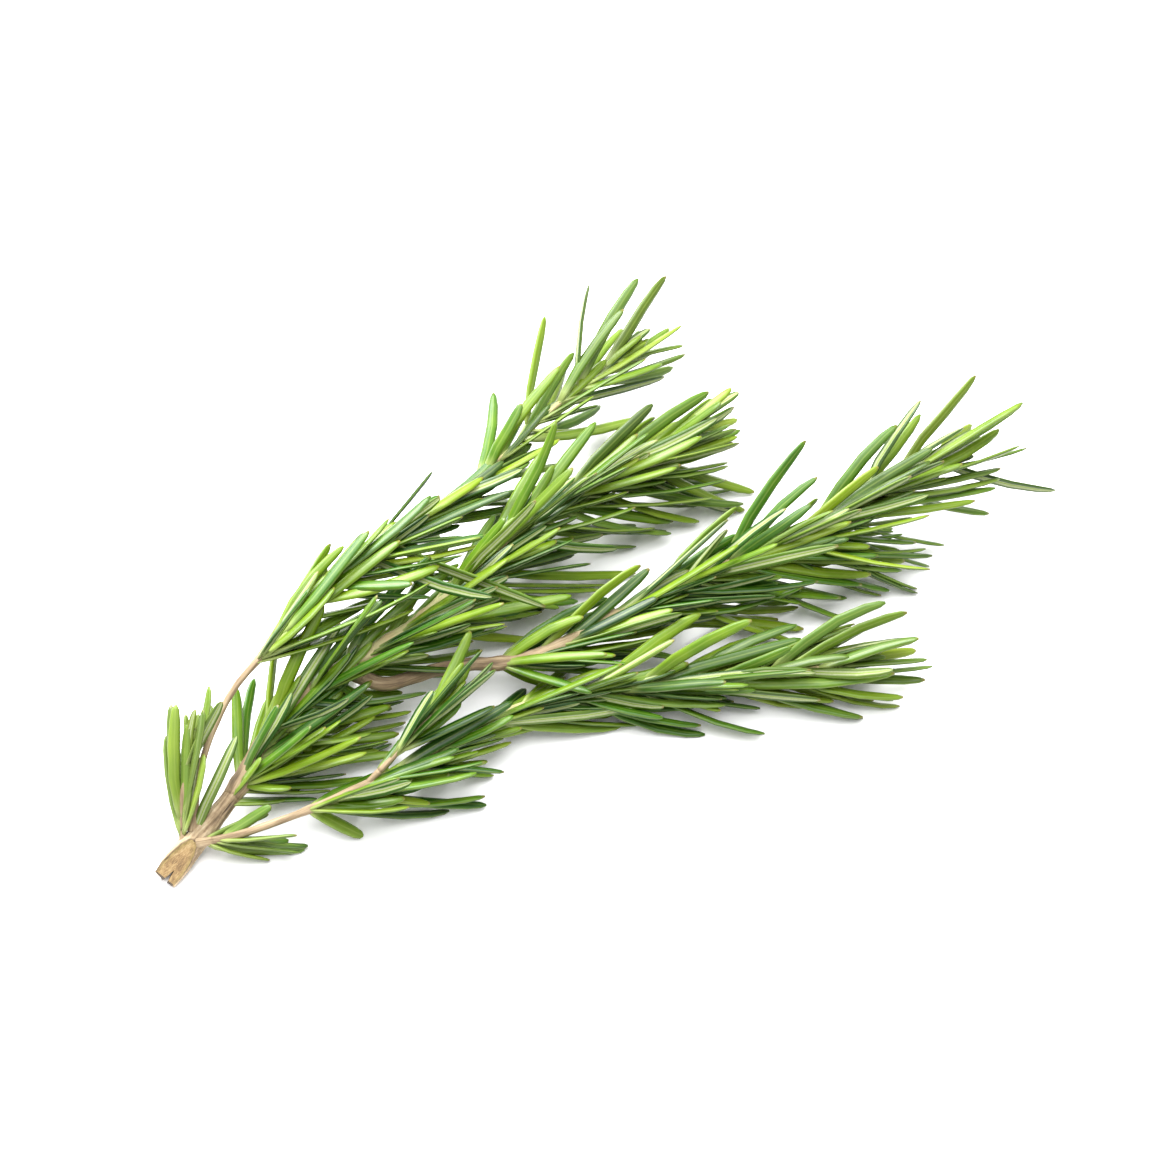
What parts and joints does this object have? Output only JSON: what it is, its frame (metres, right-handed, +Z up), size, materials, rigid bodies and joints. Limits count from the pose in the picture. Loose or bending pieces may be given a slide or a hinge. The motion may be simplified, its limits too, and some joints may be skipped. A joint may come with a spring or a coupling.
{
  "type": "rosemary sprig",
  "caption": "Cut rosemary sprig lying on its side: woody cut butt, branching stems and dense narrow needle leaves, for food, kitchen and garden scenes",
  "frame": {"origin": "middle of the sprig's outline seen from above, on the surface it lies on", "axes": "+X along the sprig from the cut butt to the tips; +Z up, away from the surface; +Y to the left seen from the butt"},
  "size_m": [0.2033, 0.1094, 0.0368],
  "materials": {
    "bark": "fibrous, dry, pale tan with a bare ochre cut",
    "middle_shoot": "leaf: slightly waxy above, pale and felted below",
    "upper_left_shoot": "leaf: slightly waxy above, pale and felted below",
    "right_shoot": "leaf: slightly waxy above, pale and felted below",
    "front_shoot": "leaf: slightly waxy above, pale and felted below",
    "front_side_twig": "leaf: slightly waxy above, pale and felted below",
    "left_tuft": "leaf: slightly waxy above, pale and felted below"
  },
  "bodies": {
    "root": {"woody_butt": "bark", "middle_shoot": "middle_shoot", "upper_left_shoot": "upper_left_shoot", "right_shoot": "right_shoot", "front_shoot": "front_shoot", "front_side_twig": "front_side_twig", "left_tuft": "left_tuft"}
  },
  "joints": []
}
